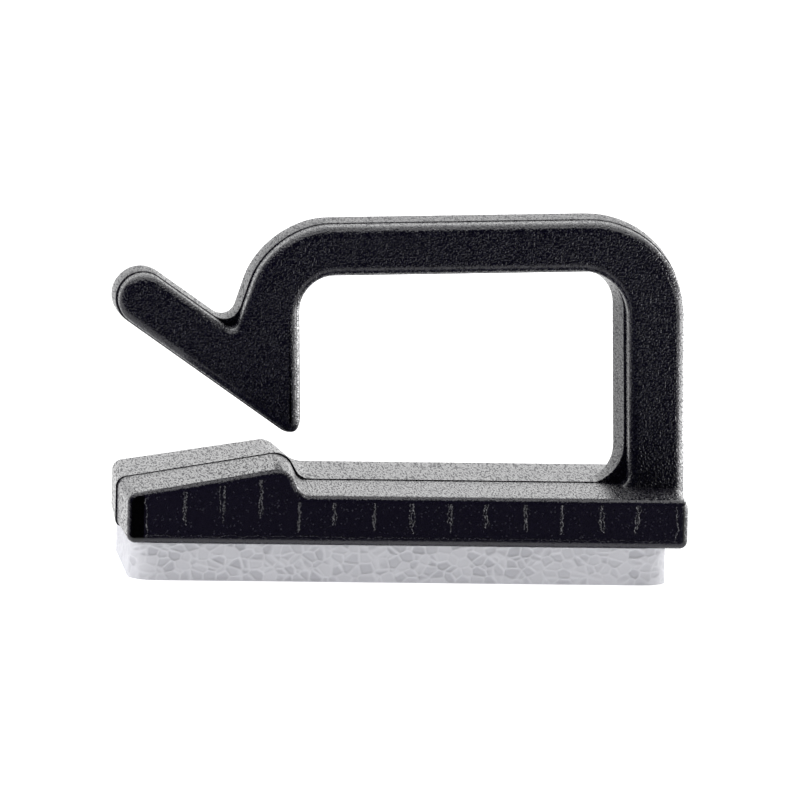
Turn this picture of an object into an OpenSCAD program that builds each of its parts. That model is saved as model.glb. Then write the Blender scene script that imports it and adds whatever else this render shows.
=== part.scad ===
// Self-adhesive cable hook: a moulded clip with a springy hook arm, on a base with a foam pad.
// X runs along the base from the lead-in end to the column, Y across it, and Z up from the
// pad's adhesive face. The mould parts at Y = 0, and the arm and the base both straddle it.

/* [Foam pad] */
// Thickness of the foam
pad_t = 1.55; // [0.8:0.05:3]
// Bare strip of the base before the pad, at the lead-in end
pad_lead_gap = 0.2; // [0.1:0.05:1]
// Bare strip of the base behind the pad, at the column end
pad_tail_gap = 0.9; // [0.1:0.05:3]
// Bare strip of the base along each long side of the pad
pad_side_gap = 0.2; // [0.1:0.05:1]
// Radius of the pad's upright corners
pad_corner_r = 1; // [0.3:0.1:2.5]

/* [Base] */
// Length of the base
base_l = 23.5; // [21:0.1:32]
// Width of the base
base_w = 10; // [7:0.5:14]
// Thickness of the base under the opening
base_t = 2.05; // [1.6:0.05:3]
// Thickness of the base at the lead-in end, where the ramp starts
ramp_start_t = 2.05; // [1.6:0.05:2.2]
// Thickness of the base at the ramp's crest, to the sharp corner
crest_t = 3.25; // [2.6:0.05:3.6]
// Length of the ramp, from the lead-in end to the crest
ramp_l = 6.85; // [5:0.05:8]
// Length of the steep fall behind the crest, in the front half of the mould
crest_fall_l = 0.5; // [0.2:0.1:1]
// Length of the gentler fall behind the crest, in the rear half of the mould
rear_crest_fall_l = 0.9; // [0.2:0.1:1.2]
// How far the rear half's crest sits before the front half's
crest_shift = 0.2; // [0:0.05:0.5]
// Radius of the crest
crest_r = 0.7; // [0.2:0.1:0.8]
// Radius at the foot of the fall behind the crest
crest_foot_r = 0.5; // [0.2:0.1:0.5]
// Radius of the base's end corners, seen from the side
base_end_r = 0.4; // [0.25:0.05:0.6]
// Rounding of the base's long edges
base_edge_r = 0.22; // [0.1:0.02:0.24]

/* [Hook arm] */
// Width of the arm across the base
arm_w = 2.6; // [2:0.1:5]
// Thickness of the top bar
arm_t = 2.05; // [1.8:0.05:2.8]
// Thickness of the column
column_t = 2.4; // [1.8:0.05:3]
// Height of the opening at the column, above the base
opening_h = 9.15; // [7.5:0.05:14]
// Length of the opening, from the column to the tip
opening_l = 13.75; // [12:0.05:16]
// Inner radius of the bend above the column, in the front half of the mould
bend_r = 1.95; // [1:0.05:2.5]
// Inner radius of the bend above the column, in the rear half of the mould
rear_bend_r = 1.7; // [0.8:0.05:2.5]
// Inner radius of the bend above the tip
throat_r = 1.6; // [0.8:0.1:2]
// Outer radius of the shoulder above the neck
shoulder_r = 3.6; // [2.5:0.1:4]
// Radius where the column meets the base, in the front half of the mould
foot_r = 0.5; // [0.3:0.1:1]
// Radius where the column meets the base, in the rear half of the mould
rear_foot_r = 1.5; // [0.3:0.1:1.5]
// Rounding of the arm's long edges in front
arm_edge_r = 0.36; // [0.14:0.02:0.4]
// Rounding of the arm's long edges behind
rear_arm_edge_r = 0.2; // [0.1:0.02:0.4]
// How far the column's back stands proud of the base's end
column_proud = 0.15; // [0.05:0.05:0.4]
// Lean of the whole arm towards the ramp, in degrees, from the moulding's shrinkage
arm_lean = 1.6; // [0:0.1:2]

/* [Tip and lip] */
// Gap that a cable is pushed through, between the tip and the ramp's crest
tip_gap = 1; // [0.5:0.05:2]
// Radius of the tip
tip_r = 0.45; // [0.2:0.05:0.6]
// Thickness of the neck that carries the tip and the lip
neck_t = 2.65; // [2.2:0.05:3.2]
// Slope of the neck's outer side, in degrees from upright
neck_slope = 19.5; // [8:0.5:24]
// Rise of the lead-in lip above the level, in degrees
lip_rise = 36.2; // [32:0.1:42]
// Thickness of the lip
lip_t = 2.1; // [1.8:0.1:2.6]
// Length of the lip, from the tip to the middle of its round end
lip_l = 8.7; // [7.5:0.05:10]
// Radius of the notch between the lip and the neck, in the front half of the mould
notch_r = 0.35; // [0.2:0.05:0.6]
// Radius of the notch between the lip and the neck, in the rear half of the mould
rear_notch_r = 0.7; // [0.4:0.05:1]

/* [Mould] */
// Step at the parting line, where the rear half of the arm is cut larger
arm_step = 0.12; // [0.04:0.01:0.18]
// Step on the outer side of the neck
neck_step = 0.25; // [0.04:0.01:0.4]
// Step on the underside of the bar
bar_step = 0.3; // [0.04:0.01:0.35]
// Step on the inner side of the column
column_step = 0.5; // [0.04:0.01:0.6]
// Step at the ends of the base
base_end_step = 0.1; // [0.02:0.01:0.2]
// Step on top of the base
base_top_step = 0.06; // [0.02:0.01:0.1]
// Slope of the step across the parting plane
step_run = 0.1; // [0.05:0.01:0.15]
// Draft of each mould half, in degrees
draft = 1; // [0:0.25:2]

/* [Hidden] */

// Steps from one point to the next round each rounded corner, the same in both halves
corner_steps = 9;
// Turn between two rings on a rounded long edge, in degrees
edge_turn = 30;
// Least radius left where an edge rounding uses up a corner
least_r = 0.03;
// Share of half the lip's thickness that rounds its end, just short of a full half circle
lip_round = 0.98;
// Depth that the column's foot is sunk into the base, as a share of the base's thickness
foot_sink = 0.8;
// Dip of the foot's curve below the base's top, so that the two surfaces cross at an angle
foot_dip = 0.06;
// Sides of a full circle at the pad's corners
pad_corner_sides = 48;

base_bottom = pad_t;
base_top = pad_t + base_t;
crest_x = ramp_l - base_l / 2;
pad_l = base_l - pad_lead_gap - pad_tail_gap;
pad_w = base_w - 2 * pad_side_gap;
arm_h = opening_h + arm_t;
tip_x = -column_t - opening_l;

// The tip's rounding is tangent to the upright inner wall and to the lip's underside.
tip_half_angle = (90 - lip_rise) / 2;
tip_centre_x = tip_x - tip_r;
tip_centre_rise = tip_r / tan(tip_half_angle);
tip_world_z = pad_t + crest_t + tip_gap + tip_r;
tip_centre_z = (tip_world_z - base_top - sin(arm_lean) * tip_centre_x) / cos(arm_lean);
tip_z = tip_centre_z - tip_centre_rise;

function unit(v) = v / norm(v);
function left_of(v) = [-v[1], v[0]];
function place(corner) = [corner[0], corner[1]];
function signed_turn(u, v) = atan2(u[0] * v[1] - u[1] * v[0], u * v);

// Points of one rounded corner b of a counterclockwise outline, on its way from a to c, with
// the whole outline moved inwards by inset. A radius of 0 keeps the corner sharp.
function corner_points(a, b, c, inset) =
    let (
        u = unit(place(b) - place(a)),
        v = unit(place(c) - place(b)),
        turn = signed_turn(u, v),
        side = sign(turn),
        moved = place(b) + inset * (left_of(u) + left_of(v)) / (1 + u * v),
        r = max(b[2] - side * inset, least_r),
        centre = moved - u * r * tan(abs(turn) / 2) + side * r * left_of(u)
    )
    b[2] == 0 ? [moved] : [for (k = [0:corner_steps])
        let (way = turn * k / corner_steps)
        centre - side * r * (left_of(u) * cos(way) - u * sin(way))];

// All points of an outline given by its corners, each [x, z, radius].
function outline_points(corners, inset) =
    let (n = len(corners))
    [for (i = [0:n - 1])
        each corner_points(corners[(i + n - 1) % n], corners[i], corners[(i + 1) % n], inset)];

// One ring of points across the mould, at y, with nothing below floor_z.
function ring(corners, inset, y, floor_z) =
    [for (p = outline_points(corners, inset)) [p[0], y, max(p[1], floor_z)]];

// The outline with each edge, from its corner on, moved outwards by that edge's own step.
function cut_larger(corners, steps) =
    let (n = len(corners))
    [for (i = [0:n - 1])
        let (
            before = (i + n - 1) % n,
            u = unit(place(corners[i]) - place(corners[before])),
            v = unit(place(corners[(i + 1) % n]) - place(corners[i])),
            sine = u[0] * v[1] - u[1] * v[0],
            moved = place(corners[i]) + (steps[i] * u - steps[before] * v) / sine
        )
        [moved[0], moved[1], corners[i][2]]];

// The rings of one mould half, from its outer face (side -1 in front, 1 behind) to inner_y at the
// parting plane: a rounded long edge, and then a drafted wall.
function half_rings(corners, side, width, edge_r, inner_y, floor_z) =
    [for (turn = [0:edge_turn:90])
        let (
            depth = width / 2 - edge_r * (1 - cos(turn)),
            inset = edge_r * (1 - sin(turn)) + depth * tan(draft)
        )
        ring(corners, inset, side * depth, floor_z),
        ring(corners, 0, inner_y, floor_z)];

// Twice the area of a triangle in the side view, positive when counterclockwise.
function turn_area(a, b, c) = (b[0] - a[0]) * (c[2] - a[2]) - (b[2] - a[2]) * (c[0] - a[0]);
function in_triangle(p, a, b, c) =
    turn_area(a, b, p) >= 0 && turn_area(b, c, p) >= 0 && turn_area(c, a, p) >= 0;

// Whether corner i of a loop of points sticks out, with no other point in the triangle it makes.
function is_ear(points, loop, i) =
    let (
        n = len(loop),
        before = (i + n - 1) % n,
        after = (i + 1) % n,
        a = points[loop[before]],
        b = points[loop[i]],
        c = points[loop[after]]
    )
    turn_area(a, b, c) > 0 && len([for (k = [0:n - 1])
        if (k != before && k != i && k != after && in_triangle(points[loop[k]], a, b, c)) k]) == 0;
function first_ear(points, loop, i = 0) =
    is_ear(points, loop, i) ? i : first_ear(points, loop, i + 1);

// Triangles that fill a loop of points, cut off one corner at a time.
function fill(points, loop) =
    len(loop) == 3 ? [loop] :
    let (n = len(loop), i = first_ear(points, loop))
    concat([[loop[(i + n - 1) % n], loop[i], loop[(i + 1) % n]]],
        fill(points, [for (k = [0:n - 1]) if (k != i) loop[k]]));

// A solid moulded in two halves from a front and a rear outline with the same corners. The step
// between them is a short slope behind the parting plane.
module two_half_moulding(front, rear, width, front_edge_r, rear_edge_r, floor_z) {
    front_rings = half_rings(front, -1, width, front_edge_r, 0, floor_z);
    rear_rings = half_rings(rear, 1, width, rear_edge_r, step_run, floor_z);
    rings = concat(front_rings, [for (k = [len(rear_rings) - 1:-1:0]) rear_rings[k]]);
    count = len(rings[0]);
    last = len(rings) - 1;
    sides = [for (j = [0:last - 1], i = [0:count - 1])
        let (
            next = (i + 1) % count,
            a = j * count + i,
            b = j * count + next,
            c = (j + 1) * count + next,
            d = (j + 1) * count + i
        )
        each [[a, b, c], [a, c, d]]];
    flat = [for (i = [0:count - 1]) i];
    front_cap = [for (t = fill(rings[0], flat)) [t[2], t[1], t[0]]];
    rear_cap = [for (t = fill(rings[last], flat)) [for (i = t) last * count + i]];
    polyhedron(points = [for (r = rings) each r], faces = concat(front_cap, sides, rear_cap));
}

// Side view of the base: a flat plate with the ramp that leads a cable in. It is drawn a little
// too deep below, by what the draft takes off, so that its underside stays flat.
function base_corners(crest, fall_l) = [
    [-base_l / 2, base_bottom - base_w / 2 * tan(draft), base_end_r],
    [base_l / 2, base_bottom - base_w / 2 * tan(draft), base_end_r],
    [base_l / 2, base_top, base_end_r],
    [crest + fall_l, base_top, crest_foot_r],
    [crest, base_bottom + crest_t, crest_r],
    [-base_l / 2, base_bottom + ramp_start_t, base_end_r]
];

// Side view of the arm before it leans, seen from the column's back at the level of the base's
// top: column, bar, shoulder, notch, lip, tip, throat and back down to the foot.
function arm_corners(bend, notch_radius, foot_radius) =
    let (
        lip_run = [-cos(lip_rise), sin(lip_rise)],
        lip_up = [sin(lip_rise), cos(lip_rise)],
        tip = [tip_x, tip_z],
        lip_end = tip + (lip_l + lip_t / 2) * lip_run,
        lip_top = tip + lip_t * lip_up,
        neck_run = [sin(neck_slope), cos(neck_slope)],
        notch_x = tip_x - neck_t,
        notch = [notch_x, lip_top[1] + (lip_top[0] - notch_x) * tan(lip_rise)],
        shoulder = notch + neck_run * (arm_h - notch[1]) / neck_run[1],
        foot_z = column_t * tan(arm_lean) - foot_dip,
        toe = column_t + 2 * foot_radius
    )
    [
        [0, -foot_sink * base_t, 0],
        [0, arm_h, bend_r + arm_t],
        [shoulder[0], arm_h, shoulder_r],
        [notch[0], notch[1], notch_radius],
        [lip_end[0] + lip_t * lip_up[0], lip_end[1] + lip_t * lip_up[1], lip_t / 2 * lip_round],
        [lip_end[0], lip_end[1], lip_t / 2 * lip_round],
        [tip[0], tip[1], tip_r],
        [tip_x, opening_h, throat_r],
        [-column_t, opening_h, bend],
        [-column_t, foot_z, foot_radius],
        [-toe, foot_z + (toe - column_t) * tan(arm_lean), 0],
        [-toe, -foot_sink * base_t, 0]
    ];

// Steps of the rear half, edge by edge in the order of the corners above. The base's underside and
// the arm's foot, which is sunk in the base, have none.
base_steps = [0, base_end_step, base_top_step, base_top_step, base_top_step, base_end_step];
arm_steps = [arm_step, arm_step, neck_step, arm_step, arm_step, arm_step, arm_step, bar_step,
    column_step, 0, 0, 0];

// Base and arm come out of the mould as one piece.
module hook_body() {
    color([0.09, 0.085, 0.12]) union() {
        two_half_moulding(
            base_corners(crest_x, crest_fall_l),
            cut_larger(base_corners(crest_x - crest_shift, rear_crest_fall_l), base_steps),
            base_w, base_edge_r, base_edge_r, base_bottom);
        translate([base_l / 2 + column_proud, 0, base_top])
            rotate([0, -arm_lean, 0])
                two_half_moulding(
                    arm_corners(bend_r, notch_r, foot_r),
                    cut_larger(arm_corners(rear_bend_r, rear_notch_r, rear_foot_r), arm_steps),
                    arm_w, arm_edge_r, rear_arm_edge_r, -foot_sink * base_t);
    }
}

// Die-cut closed-cell foam with adhesive on both faces.
module foam_pad() {
    color([0.82, 0.82, 0.85])
        translate([pad_lead_gap - base_l / 2, -pad_w / 2, 0])
            linear_extrude(pad_t) {
                translate([pad_corner_r, 0]) square([pad_l - 2 * pad_corner_r, pad_w]);
                translate([0, pad_corner_r]) square([pad_l, pad_w - 2 * pad_corner_r]);
                for (x = [pad_corner_r, pad_l - pad_corner_r], y = [pad_corner_r, pad_w - pad_corner_r])
                    translate([x, y]) circle(pad_corner_r, $fn = pad_corner_sides);
            }
}

hook_body();
foam_pad();
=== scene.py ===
import math
import random

import bmesh
import bpy
from mathutils import Matrix, Vector, kdtree


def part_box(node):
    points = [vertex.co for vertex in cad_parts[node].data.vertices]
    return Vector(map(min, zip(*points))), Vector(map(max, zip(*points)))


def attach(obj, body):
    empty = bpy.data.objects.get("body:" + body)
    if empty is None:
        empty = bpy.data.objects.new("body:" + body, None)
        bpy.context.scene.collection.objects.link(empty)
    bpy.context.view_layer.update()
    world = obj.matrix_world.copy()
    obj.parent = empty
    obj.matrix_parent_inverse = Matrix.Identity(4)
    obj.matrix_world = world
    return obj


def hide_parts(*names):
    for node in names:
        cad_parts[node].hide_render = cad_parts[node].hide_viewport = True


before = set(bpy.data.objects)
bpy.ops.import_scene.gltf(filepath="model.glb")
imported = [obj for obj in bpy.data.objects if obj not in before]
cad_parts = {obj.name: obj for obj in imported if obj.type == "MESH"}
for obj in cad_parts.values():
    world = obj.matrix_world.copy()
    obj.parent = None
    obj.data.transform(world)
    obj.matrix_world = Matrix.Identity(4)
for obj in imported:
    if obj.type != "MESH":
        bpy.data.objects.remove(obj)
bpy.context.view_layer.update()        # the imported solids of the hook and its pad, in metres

mm = 0.001

# Camera: a long lens almost square to the hook's long side, a little to the left of it and a
# little above, with the frame turned slightly clockwise.
camera_yaw = math.radians(4.6)
camera_rise = math.radians(7.8)
camera_roll = math.radians(1.3)
camera_distance = 900 * mm
camera_aim = Vector((-0.06, 0, 7)) * mm
frame_width = 100 / 3 * mm
sensor = 36
towards_camera = Vector((
    -math.sin(camera_yaw) * math.cos(camera_rise),
    -math.cos(camera_yaw) * math.cos(camera_rise),
    math.sin(camera_rise),
))
camera_turn = (
    Matrix.Rotation(-camera_yaw, 4, "Z")
    @ Matrix.Rotation(math.pi / 2 - camera_rise, 4, "X")
    @ Matrix.Rotation(camera_roll, 4, "Z")
)
camera_right = camera_turn.to_3x3() @ Vector((1, 0, 0))
camera_up = camera_turn.to_3x3() @ Vector((0, 1, 0))
bpy.ops.object.camera_add(
    location=camera_aim + camera_distance * towards_camera,
    rotation=camera_turn.to_euler(),
)
camera = bpy.context.object
camera.data.sensor_width = sensor
camera.data.lens = sensor * camera_distance / frame_width
camera.data.clip_start = 10 * mm
bpy.context.scene.camera = camera

# Hook body: one injection moulding in black plastic, base and springy arm together. The mould
# parts along the middle of the arm, and its rear half is cut a little larger than its front half,
# which leaves a step all round. Sizes are in millimetres, as drawn in the side view.
pad_low, pad_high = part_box("foam_pad")
hook_low, hook_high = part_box("hook_body")
base_bottom = pad_high.z / mm
base_front = hook_low.y / mm
base_back = hook_high.y / mm
base_l = 23.5
base_t = 2.07
ramp_start_t = 2.04
crest_t = 3.24
ramp_l = 6.95
heel_r = 0.34
tail_r = 0.35
ramp_start_r = 0.45
base_edge_r = 0.22
front_edge_r = 0.29
base_top = base_bottom + base_t
crest_x = ramp_l - base_l / 2

arm_w = 2.6
arm_t = 2.03
column_t = 2.43
column_proud = 0.175
column_taper = 0.14
opening_h = 9.13
opening_l = 13.73
outer_bend_r = 3.95
throat_r = 1.6
shoulder_r = 3.5
arm_edge_r = 0.42
rear_arm_edge_r = 0.18
step_edge_r = 0.05
arm_lean = math.radians(1.6)
tip_rise = 2.18
tip_r = 0.45
neck_t = 2.65
neck_slope = math.radians(19.5)
lip_rise = math.radians(36.2)
lip_t = 2.12
lip_l = 8.73
lip_end_r = lip_t * 0.49
foot_dip = 0.06
foot_sink = 1.6
arm_top = opening_h + arm_t


def base_corners(lead_in, tail_in, top_up, crest_back, crest_down, fall_l, crest_r, toe_r):
    """Side view of the base, counterclockwise: plate, fall behind the crest, and lead-in ramp."""
    lead_end = lead_in - base_l / 2
    column_end = base_l / 2 - tail_in
    peak_x = crest_x - crest_back
    fall_foot_r = 0.9 * fall_l
    return [
        (lead_end, base_bottom, toe_r),
        (column_end, base_bottom, heel_r),
        (column_end, base_top + top_up, tail_r),
        (peak_x + fall_l, base_top + top_up, fall_foot_r),
        (peak_x, base_bottom + crest_t - crest_down, crest_r),
        (lead_end, base_bottom + ramp_start_t + top_up / 2, ramp_start_r),
    ]


def arm_corners(bend_r, foot_r, notch_r):
    """Side view of the arm, counterclockwise from the foot of the column's back, leaning as it does."""
    lip_run = Vector((-math.cos(lip_rise), math.sin(lip_rise)))
    lip_up = Vector((math.sin(lip_rise), math.cos(lip_rise)))
    tip = Vector((-column_t - opening_l, tip_rise))
    lip_end = tip + (lip_l + lip_t / 2) * lip_run
    lip_top = tip + lip_t * lip_up
    notch_x = tip.x - neck_t
    notch_z = lip_top.y + (lip_top.x - notch_x) * math.tan(lip_rise)
    shoulder_x = notch_x + (arm_top - notch_z) * math.tan(neck_slope)
    foot_z = column_t * math.tan(arm_lean) - foot_dip
    toe_x = -column_t - 2 * foot_r
    toe_z = foot_z + 2 * foot_r * math.tan(arm_lean)
    upright = [
        (-column_taper, -foot_sink, 0),
        (0, arm_top, outer_bend_r),
        (shoulder_x, arm_top, shoulder_r),
        (notch_x, notch_z, notch_r),
        (*(lip_end + lip_t * lip_up), lip_end_r),
        (*lip_end, lip_end_r),
        (*tip, tip_r),
        (tip.x, opening_h, throat_r),
        (-column_t, opening_h, bend_r),
        (-column_t, foot_z, foot_r),
        (toe_x, toe_z, 0),
        (toe_x, -foot_sink, 0),
    ]
    lean = Matrix.Rotation(arm_lean, 2)
    pivot = Vector((base_l / 2 + column_proud, base_top))
    return [(*(pivot + lean @ Vector((x, z))), radius) for x, z, radius in upright]


def runs_at(corners, i):
    """Unit runs along the edges into and out of a corner."""
    before, here, after = (Vector(corners[(i + k) % len(corners)][:2]) for k in (-1, 0, 1))
    return (here - before).normalized(), (after - here).normalized()


def cut_larger(corners, steps):
    """The outline with each edge, from its corner on, moved outwards by that edge's own step."""
    larger = []
    for i, (x, z, radius) in enumerate(corners):
        run_in, run_out = runs_at(corners, i)
        sine = run_in.cross(run_out)
        moved = Vector((x, z)) + (steps[i] * run_in - steps[i - 1] * run_out) / sine
        step = (steps[i - 1] + steps[i]) / 2
        larger.append((*moved, radius + math.copysign(step, sine) if radius else 0))
    return larger


def select_where(piece, test):
    """In edit mode, selects the vertices whose place passes a test, and the edges and faces on them."""
    mesh = bmesh.from_edit_mesh(piece.data)
    for part in (*mesh.faces, *mesh.edges, *mesh.verts):
        part.select = False
    for vertex in mesh.verts:
        vertex.select = test(vertex.co)
    mesh.select_flush_mode()
    bmesh.update_edit_mesh(piece.data)


hair = 0.001 * mm
corner_segments = 14
rim_segments = 6


def drawn_outline(corners, y):
    """A closed outline in the side view at y, drawn corner by corner, with each corner rounded."""
    bpy.ops.object.select_all(action="DESELECT")
    bpy.ops.mesh.primitive_circle_add(vertices=len(corners), fill_type="NGON")
    outline = bpy.context.object
    for vertex, (x, z, _) in zip(outline.data.vertices, corners):
        vertex.co = Vector((x, y, z)) * mm
    bpy.ops.object.mode_set(mode="EDIT")
    bpy.ops.mesh.select_mode(type="VERT")
    for i, (x, z, radius) in enumerate(corners):
        if radius:
            corner = Vector((x, y, z)) * mm
            run_in, run_out = runs_at(corners, i)
            select_where(outline, lambda point: (point - corner).length < hair)
            bpy.ops.mesh.bevel(
                affect="VERTICES",
                offset_type="ABSOLUTE",
                offset=radius * math.tan(run_in.angle(run_out) / 2) * mm,
                segments=corner_segments,
                clamp_overlap=False,
            )
    bpy.ops.mesh.select_all(action="SELECT")
    bpy.ops.mesh.delete(type="ONLY_FACE")
    bpy.ops.object.mode_set(mode="OBJECT")
    return outline


def mould_half(name, outer, outer_y, inner, inner_y, edge_r, inner_edge_r=0):
    """One mould half, bridged from its outer face to its inner face, with rounded rims."""
    half = drawn_outline(outer, outer_y)
    half.name = name
    inner_face = drawn_outline(inner, inner_y)
    half.select_set(True)
    inner_face.select_set(True)
    bpy.context.view_layer.objects.active = half
    bpy.ops.object.join()
    bpy.ops.object.mode_set(mode="EDIT")
    bpy.ops.mesh.select_all(action="SELECT")
    bpy.ops.mesh.bridge_edge_loops()
    for face_y, rim_r in ((inner_y, inner_edge_r), (outer_y, edge_r)):
        select_where(half, lambda point: abs(point.y - face_y * mm) < hair)
        bpy.ops.mesh.edge_face_add()
        if rim_r:
            bpy.ops.mesh.bevel(
                affect="EDGES", offset=rim_r * mm, segments=rim_segments, clamp_overlap=False
            )
    bpy.ops.mesh.select_all(action="SELECT")
    bpy.ops.mesh.remove_doubles(threshold=hair)
    bpy.ops.mesh.normals_make_consistent(inside=False)
    bpy.ops.object.mode_set(mode="OBJECT")
    return half


def fuse(body, addition):
    """Joins a closed piece to a body, so that one clean skin is left."""
    bpy.ops.object.select_all(action="DESELECT")
    bpy.context.view_layer.objects.active = body
    body.select_set(True)
    union = body.modifiers.new("fuse", "BOOLEAN")
    union.operation = "UNION"
    union.solver = "EXACT"
    union.object = addition
    bpy.ops.object.modifier_apply(modifier=union.name)
    bpy.data.objects.remove(addition)


# The rear halves end at the parting plane, and the front halves reach a little into them. The base's
# ends draw in towards its outer faces, by the draft that lets it out of the mould.
parting_y = 0
overlap_y = 0.4
hook = mould_half(
    "hook",
    base_corners(
        lead_in=0.05, tail_in=0.1, top_up=0.11, crest_back=0.48, crest_down=0.12,
        fall_l=1.15, crest_r=0.7, toe_r=0.3,
    ),
    base_back,
    base_corners(
        lead_in=-0.1, tail_in=-0.04, top_up=0.035, crest_back=0, crest_down=-0.03,
        fall_l=0.65, crest_r=0.8, toe_r=0.3,
    ),
    parting_y,
    base_edge_r,
)
fuse(hook, mould_half(
    "base_front_half",
    base_corners(
        lead_in=0.09, tail_in=0.09, top_up=0, crest_back=0.2, crest_down=0,
        fall_l=0.55, crest_r=0.8, toe_r=0.34,
    ),
    base_front,
    base_corners(
        lead_in=-0.05, tail_in=0, top_up=0, crest_back=0, crest_down=0,
        fall_l=0.55, crest_r=0.8, toe_r=0.34,
    ),
    overlap_y,
    front_edge_r,
))

# Steps of the arm's rear half, edge by edge: column's back, bar, neck, lip's top, end and underside,
# tip, bar's underside, column's inside, and the toe, end and bottom sunk in the base.
step_at_parting = (0.05, 0.035, 0.06, 0.035, 0.06, 0.12, 0.1, 0.15, 0.09, 0, 0, 0)
step_at_back = (0.07, 0.15, 0.25, 0.12, 0.2, 0.17, 0.14, 0.2, 0.5, 0, 0, 0)
rear_arm = arm_corners(bend_r=1.7, foot_r=1.75, notch_r=0.8)
fuse(hook, mould_half(
    "arm_rear_half",
    cut_larger(rear_arm, step_at_back),
    arm_w / 2,
    cut_larger(rear_arm, step_at_parting),
    parting_y,
    rear_arm_edge_r,
    step_edge_r,
))
front_arm = arm_corners(bend_r=1.95, foot_r=0.5, notch_r=0.35)
fuse(hook, mould_half("arm_front_half", front_arm, -arm_w / 2, front_arm, overlap_y, arm_edge_r))

# The mould's front was milled in upright passes. The cusps between them show on the base as rough
# strands of plastic, which fade out above its lower edge, and a thinner one follows that edge.
draw = random.Random(3)
first_cusp_x = -10.92
cusp_pitch = 1.577
cusp_count = 15
cusp_strands = 3
cusp_spread = 0.1
cusp_margin = 0.05
strand_r = 0.03
lower_strand_l = 22.2
lower_strand_rise = 0.06


def rough_strand(start, run, length, radius):
    """A thin ridge along the base's front that wanders and swells on its way."""
    link = 1.5 * radius
    wander = 1.3
    pull_back = 0.2
    thinnest, thickest = 0.1, 1.4
    bpy.ops.object.select_all(action="DESELECT")
    bpy.ops.mesh.primitive_circle_add(
        vertices=6,
        radius=radius * mm,
        fill_type="NGON",
        location=start * mm,
        rotation=run.to_track_quat("Z", "Y").to_euler(),
    )
    bpy.ops.object.transform_apply(location=True, rotation=True, scale=True)
    strand = bpy.context.object
    bpy.ops.object.mode_set(mode="EDIT")
    bpy.ops.mesh.select_all(action="SELECT")
    aside = run.cross(Vector((0, 1, 0)))
    sway = 0
    for _ in range(round(length / link)):
        drift = draw.uniform(-wander, wander) * radius - pull_back * sway
        sway += drift
        bpy.ops.mesh.extrude_region_move(
            TRANSFORM_OT_translate={"value": (link * run + drift * aside) * mm}
        )
        ring = [vertex for vertex in bmesh.from_edit_mesh(strand.data).verts if vertex.select]
        middle = sum((vertex.co for vertex in ring), Vector()) / len(ring)
        swell = draw.uniform(thinnest, thickest) * radius * mm / (ring[0].co - middle).length
        bpy.ops.transform.resize(value=(swell, swell, swell), center_override=middle)
    bpy.ops.mesh.select_all(action="SELECT")
    bpy.ops.mesh.normals_make_consistent(inside=False)
    bpy.ops.object.mode_set(mode="OBJECT")
    return strand


for layer in range(cusp_strands):
    strands = []
    for number in range(cusp_count):
        cusp_x = first_cusp_x + number * cusp_pitch
        ramp_share = min(1, (cusp_x + base_l / 2) / ramp_l)
        ramp_z = base_bottom + ramp_start_t + ramp_share * (crest_t - ramp_start_t)
        cusp_top = (ramp_z if cusp_x < crest_x else base_top) - base_edge_r - cusp_margin
        cusp_h = cusp_top - base_bottom - base_edge_r
        is_end = number in (0, cusp_count - 1)
        reach = 0.95 if is_end else draw.uniform(0.5, 0.8)
        start_x = cusp_x if is_end else cusp_x + draw.uniform(-cusp_spread, cusp_spread)
        if layer == 0 or not is_end:
            start = Vector((start_x, base_front, cusp_top))
            strands.append(rough_strand(start, Vector((0, 0, -1)), reach * cusp_h, strand_r))
    bpy.ops.object.select_all(action="DESELECT")
    for strand in strands:
        strand.select_set(True)
    bpy.context.view_layer.objects.active = strands[0]
    bpy.ops.object.join()
    fuse(hook, strands[0])
lower_edge = Vector((first_cusp_x, base_front, base_bottom + front_edge_r + lower_strand_rise))
fuse(hook, rough_strand(lower_edge, Vector((1, 0, 0)), lower_strand_l, 0.7 * strand_r))
bpy.ops.object.shade_smooth_by_angle(angle=math.radians(35))
weighting = hook.modifiers.new("even_shading", "WEIGHTED_NORMAL")
weighting.keep_sharp = True
bpy.ops.object.modifier_apply(modifier=weighting.name)

plastic = bpy.data.materials.new("black_moulded_plastic")
plastic.use_nodes = True
nodes = plastic.node_tree.nodes
links = plastic.node_tree.links
shader = nodes["Principled BSDF"]
place = nodes.new("ShaderNodeTexCoord")
position = nodes.new("ShaderNodeSeparateXYZ")
links.new(place.outputs["Object"], position.inputs["Vector"])
skin = nodes.new("ShaderNodeNewGeometry")
facing = nodes.new("ShaderNodeSeparateXYZ")
links.new(skin.outputs["Normal"], facing.inputs["Vector"])


def mapped(source, low, high, to_low=0, to_high=1):
    """A value that goes from to_low to to_high while its source goes from low to high."""
    span = nodes.new("ShaderNodeMapRange")
    span.inputs["From Min"].default_value = low
    span.inputs["From Max"].default_value = high
    span.inputs["To Min"].default_value = to_low
    span.inputs["To Max"].default_value = to_high
    links.new(source, span.inputs["Value"])
    return span.outputs["Result"]


def product(first, second):
    """One value times another, each a socket or a number."""
    times = nodes.new("ShaderNodeMath")
    times.operation = "MULTIPLY"
    for socket, factor in zip(times.inputs, (first, second)):
        if isinstance(factor, (int, float)):
            socket.default_value = factor
        else:
            links.new(factor, socket)
    return times.outputs["Value"]


def drawn_noise(scale, stretch):
    """Plain noise, drawn out along the direction in which the mould opens."""
    drawn_out = nodes.new("ShaderNodeMapping")
    drawn_out.inputs["Scale"].default_value = (1, stretch, 1)
    noise = nodes.new("ShaderNodeTexNoise")
    noise.inputs["Scale"].default_value = scale
    noise.inputs["Detail"].default_value = 0
    links.new(place.outputs["Object"], drawn_out.inputs["Vector"])
    links.new(drawn_out.outputs["Vector"], noise.inputs["Vector"])
    return noise.outputs["Fac"]


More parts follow.
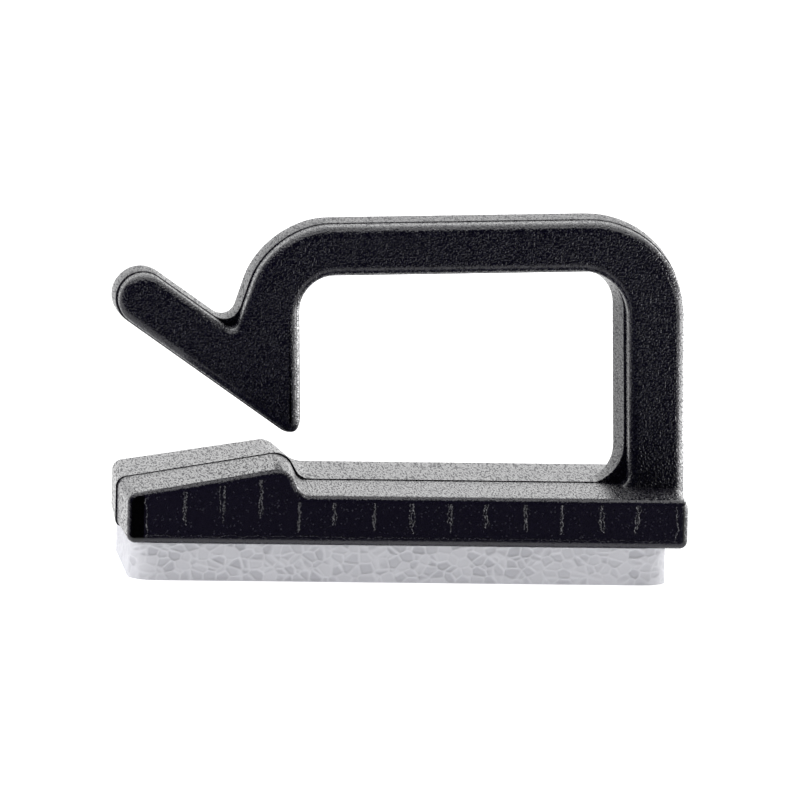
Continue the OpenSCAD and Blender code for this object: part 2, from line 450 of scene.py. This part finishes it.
# The base's front is milled smooth, with a bare land outside the first and the last cusp, and the
# strands stand proud of it. Everything else has the grain of a spark-eroded mould, which is deeper
# on the faces that look up.
last_land_x = 11.45
land_fade = 0.06
milled_grain = 0.004 * mm
milled = mapped(position.outputs["Y"], (base_front + 0.1) * mm, (base_front + 0.02) * mm)
proud = mapped(position.outputs["Y"], (base_front - 0.005) * mm, (base_front - 0.03) * mm)
between_lands = product(
    mapped(position.outputs["X"], (first_cusp_x - land_fade) * mm, first_cusp_x * mm),
    mapped(position.outputs["X"], last_land_x * mm, (last_land_x - land_fade) * mm),
)
eroded_grain = mapped(facing.outputs["Z"], 0.4, 0.95, to_low=0.012 * mm, to_high=0.026 * mm)
grain_depth = nodes.new("ShaderNodeMix")
links.new(milled, grain_depth.inputs["Factor"])
links.new(eroded_grain, grain_depth.inputs["A"])
links.new(product(between_lands, milled_grain), grain_depth.inputs["B"])
bump = nodes.new("ShaderNodeBump")
links.new(mapped(drawn_noise(scale=13000, stretch=0.35), 0.52, 0.72), bump.inputs["Height"])
links.new(grain_depth.outputs["Result"], bump.inputs["Distance"])
links.new(bump.outputs["Normal"], shader.inputs["Normal"])

# Faces that the mould slides along as it opens are pitted with dull marks, which show in a low view.
sheen = 0.16
dullness = 0.5
facing_across = nodes.new("ShaderNodeMath")
facing_across.operation = "ABSOLUTE"
links.new(facing.outputs["Y"], facing_across.inputs["Value"])
pitted = product(
    mapped(drawn_noise(scale=16000, stretch=0.14), 0.52, 0.66),
    mapped(facing_across.outputs["Value"], 0.9, 0.6),
)
links.new(mapped(pitted, 0, 1, to_low=sheen, to_high=dullness), shader.inputs["Roughness"])


def speck_colours(source, *stops):
    """Colours for a random value, each stop with the value where its colour is reached."""
    ramp = nodes.new("ShaderNodeValToRGB")
    while len(ramp.color_ramp.elements) < len(stops):
        ramp.color_ramp.elements.new(1)
    for element, (value, colour) in zip(ramp.color_ramp.elements, stops):
        element.position = value
        element.color = (*colour, 1)
    links.new(source, ramp.inputs["Fac"])
    return ramp.outputs["Color"]


def blend(share, first, second):
    """The first colour, with the second over it by a share."""
    mix = nodes.new("ShaderNodeMix")
    mix.data_type = "RGBA"
    first_socket, second_socket = (socket for socket in mix.inputs if socket.type == "RGBA")
    links.new(share, mix.inputs["Factor"])
    links.new(first, first_socket)
    links.new(second, second_socket)
    return next(socket for socket in mix.outputs if socket.type == "RGBA")


eroded_black = (0.002, 0.0016, 0.0075)
eroded_speck = (0.03, 0.03, 0.04)
land_black = (0.0002, 0.0002, 0.0005)
# Between the lands the milled front is painted a lighter black than the bare land. Its navy tint is the
# plastic's own, and the extra lightness is a painted sheen for the light that its milled grain
# scatters.
milled_painted_sheen = (0.006, 0.005, 0.0125)
milled_speck = (0.04, 0.04, 0.05)
strand_black = (0.006, 0.006, 0.009)
strand_grey = (0.1, 0.1, 0.11)
specks = nodes.new("ShaderNodeTexVoronoi")
specks.inputs["Scale"].default_value = 18000
links.new(place.outputs["Object"], specks.inputs["Vector"])
eroded_colours = speck_colours(specks.outputs["Color"], (0.6, eroded_black), (1, eroded_speck))
# Milled front colours: the land's own black outside the cusps, painted sheen between them, and pale
# specks.
milled_painted_sheen_colours = speck_colours(
    product(specks.outputs["Color"], between_lands),
    (0, land_black),
    (0.05, milled_painted_sheen),
    (0.82, milled_painted_sheen),
    (1, milled_speck),
)
strand_colours = speck_colours(specks.outputs["Color"], (0.1, strand_black), (1, strand_grey))
face_colours = blend(milled, eroded_colours, milled_painted_sheen_colours)
links.new(blend(proud, face_colours, strand_colours), shader.inputs["Base Color"])
hook.data.materials.clear()
hook.data.materials.append(plastic)
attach(hook, "root")
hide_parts("hook_body")

# Foam pad: closed-cell foam with adhesive on both faces, die-cut with rounded corners and stuck
# under the base. The cut goes through the cells, so the sides are a net of thin cell walls.
pad_size = pad_high - pad_low
pad_middle = (pad_low + pad_high) / 2
pad_corner_r = 1.1 * mm
pad_corner_segments = 24
foam_layers = 36
cell = 0.4 * mm
cell_flatness = 1.3
cell_depth = 0.05 * mm
wall_t = 0.11 * mm
closed_edge_h = 0.1 * mm
fullest = 0.75
bpy.ops.object.select_all(action="DESELECT")
bpy.ops.mesh.primitive_plane_add(size=1, location=(pad_middle.x, pad_middle.y, pad_low.z))
pad = bpy.context.object
pad.name = "foam"
pad.scale = (pad_size.x, pad_size.y, 1)
bpy.ops.object.transform_apply(location=True, rotation=True, scale=True)
bpy.ops.object.mode_set(mode="EDIT")
bpy.ops.mesh.select_mode(type="VERT")
bpy.ops.mesh.select_all(action="SELECT")
bpy.ops.mesh.bevel(
    affect="VERTICES",
    offset_type="ABSOLUTE",
    offset=pad_corner_r,
    segments=pad_corner_segments,
    clamp_overlap=False,
)
bpy.ops.mesh.select_mode(type="EDGE")
for axis, cuts in (("x", 21), ("y", 13)):
    mesh = bmesh.from_edit_mesh(pad.data)
    for edge in mesh.edges:
        run = edge.verts[0].co - edge.verts[1].co
        edge.select = abs(getattr(run, axis)) > 2 * pad_corner_r
    mesh.select_flush_mode()
    bmesh.update_edit_mesh(pad.data)
    bpy.ops.mesh.subdivide(number_cuts=cuts)
    bpy.ops.mesh.subdivide(number_cuts=cuts)
bpy.ops.mesh.select_mode(type="VERT")
bpy.ops.mesh.select_all(action="SELECT")
for _ in range(foam_layers):
    bpy.ops.mesh.extrude_region_move(
        TRANSFORM_OT_translate={"value": (0, 0, pad_size.z / foam_layers)}
    )
bpy.ops.mesh.select_all(action="SELECT")
bpy.ops.mesh.normals_make_consistent(inside=False)
bpy.ops.object.mode_set(mode="OBJECT")

draw = random.Random(7)
squash = Vector((1, 1, cell_flatness))
columns, rows, layers = (math.ceil(length / cell) for length in pad_size * squash)
cells = kdtree.KDTree(columns * rows * layers)
for i in range(columns):
    for j in range(rows):
        for k in range(layers):
            spot = Vector((i + draw.random(), j + draw.random(), k + draw.random())) * cell
            cells.insert(pad_low * squash + spot, (i * rows + j) * layers + k)
cells.balance()
fullness = [draw.uniform(0, fullest) for _ in range(columns * rows * layers)]
wall = pad.data.attributes.new("cell_wall", "FLOAT", "POINT")
outwards = [Vector((vertex.normal.x, vertex.normal.y, 0)) for vertex in pad.data.vertices]
for vertex in pad.data.vertices:
    nearest, second = cells.find_n(vertex.co * squash, 2)
    hollow = min(1, (second[2] - nearest[2]) / wall_t) * (1 - fullness[nearest[1]])
    edge_fade = min(1, (vertex.co.z - pad_low.z) / closed_edge_h)
    wall.data[vertex.index].value = 1 - hollow * edge_fade
    vertex.co -= outwards[vertex.index] * cell_depth * hollow * edge_fade
bpy.ops.object.shade_smooth_by_angle(angle=math.radians(50))

foam = bpy.data.materials.new("grey_closed_cell_foam")
foam.use_nodes = True
nodes = foam.node_tree.nodes
links = foam.node_tree.links
shader = nodes["Principled BSDF"]
shader.inputs["Roughness"].default_value = 0.7
walls = nodes.new("ShaderNodeAttribute")
walls.attribute_name = "cell_wall"
# Painted shade: the foam is painted darker where its cells are hollow, as the shade in their recesses,
# and lighter on the cell walls.
painted_hollow_shade = nodes.new("ShaderNodeValToRGB")
painted_hollow_shade.color_ramp.elements[0].color = (0.53, 0.53, 0.57, 1)
painted_hollow_shade.color_ramp.elements[1].color = (0.69, 0.69, 0.73, 1)
links.new(walls.outputs["Fac"], painted_hollow_shade.inputs["Fac"])
links.new(painted_hollow_shade.outputs["Color"], shader.inputs["Base Color"])
pad.data.materials.append(foam)
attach(pad, "root")
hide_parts("foam_pad")

# Floor and light: a white table in a white light tent. The tent is darker around the camera, so
# faces that look at the camera stay black and faces that turn away pick up the white walls.
bpy.ops.object.select_all(action="DESELECT")
bpy.ops.mesh.primitive_plane_add(size=4, location=(0, 0, pad_low.z))
floor = bpy.context.object
floor.name = "floor"
white = bpy.data.materials.new("white_table")
white.use_nodes = True
shader = white.node_tree.nodes["Principled BSDF"]
shader.inputs["Base Color"].default_value = (0.9, 0.9, 0.9, 1)
shader.inputs["Roughness"].default_value = 1
shader.inputs["Specular IOR Level"].default_value = 0
shader.inputs["Emission Color"].default_value = (1, 1, 1, 1)
shader.inputs["Emission Strength"].default_value = 0.75
floor.data.materials.append(white)
floor.visible_glossy = False

# The middle of the dark side lies above the camera and a little to its left.
dark_left = 0.175
dark_up = 0.64
tent = bpy.data.worlds.new("light_tent")
bpy.context.scene.world = tent
tent.use_nodes = True
nodes = tent.node_tree.nodes
links = tent.node_tree.links
direction = nodes.new("ShaderNodeTexCoord")
nearness = nodes.new("ShaderNodeVectorMath")
nearness.operation = "DOT_PRODUCT"
nearness.inputs[1].default_value = towards_camera - dark_left * camera_right + dark_up * camera_up
fall = nodes.new("ShaderNodeValToRGB")
fall.color_ramp.elements[0].position = 0.1
fall.color_ramp.elements[0].color = (1, 1, 1, 1)
fall.color_ramp.elements[1].position = 0.42
fall.color_ramp.elements[1].color = (0.01, 0.01, 0.01, 1)
background = nodes["Background"]
background.inputs["Strength"].default_value = 1.36
links.new(direction.outputs["Generated"], nearness.inputs[0])
links.new(nearness.outputs["Value"], fall.inputs["Fac"])
links.new(fall.outputs["Color"], background.inputs["Color"])

bpy.ops.object.light_add(type="AREA", location=(0, 0.1, 0.6))
overhead = bpy.context.object
overhead.name = "overhead"
overhead.data.size = 0.8
overhead.data.energy = 2

left_place = Vector((-0.4, -0.1, 0.12))
bpy.ops.object.light_add(
    type="AREA", location=left_place, rotation=left_place.to_track_quat("Z", "Y").to_euler()
)
left = bpy.context.object
left.name = "left_fill"
left.data.size = 0.3
left.data.energy = 0.8
left.visible_glossy = False

# A softbox overhead, and white cards close by at the right, one level with the hook and a dimmer one
# before it, show only as reflections in the plastic.
bpy.ops.object.light_add(type="AREA", location=(0, 0.15, 0.5))
softbox = bpy.context.object
softbox.name = "softbox"
softbox.data.size = 0.8
softbox.data.energy = 2.5
softbox.visible_diffuse = False
softbox.visible_camera = False

card_x = 35 * mm
card_z = 7.5 * mm
card_h = 14 * mm
for name, card_y, card_l, energy in (
    ("card", 22 * mm, 75 * mm, 0.03),
    ("dim_card", -41 * mm, 50 * mm, 0.0045),
):
    bpy.ops.object.light_add(
        type="AREA", location=(card_x, card_y, card_z), rotation=(math.pi / 2, 0, math.pi / 2)
    )
    card = bpy.context.object
    card.name = name
    card.data.shape = "RECTANGLE"
    card.data.size = card_l
    card.data.size_y = card_h
    card.data.energy = energy
    card.visible_diffuse = False
    card.visible_camera = False

bpy.context.scene.view_settings.view_transform = "Standard"
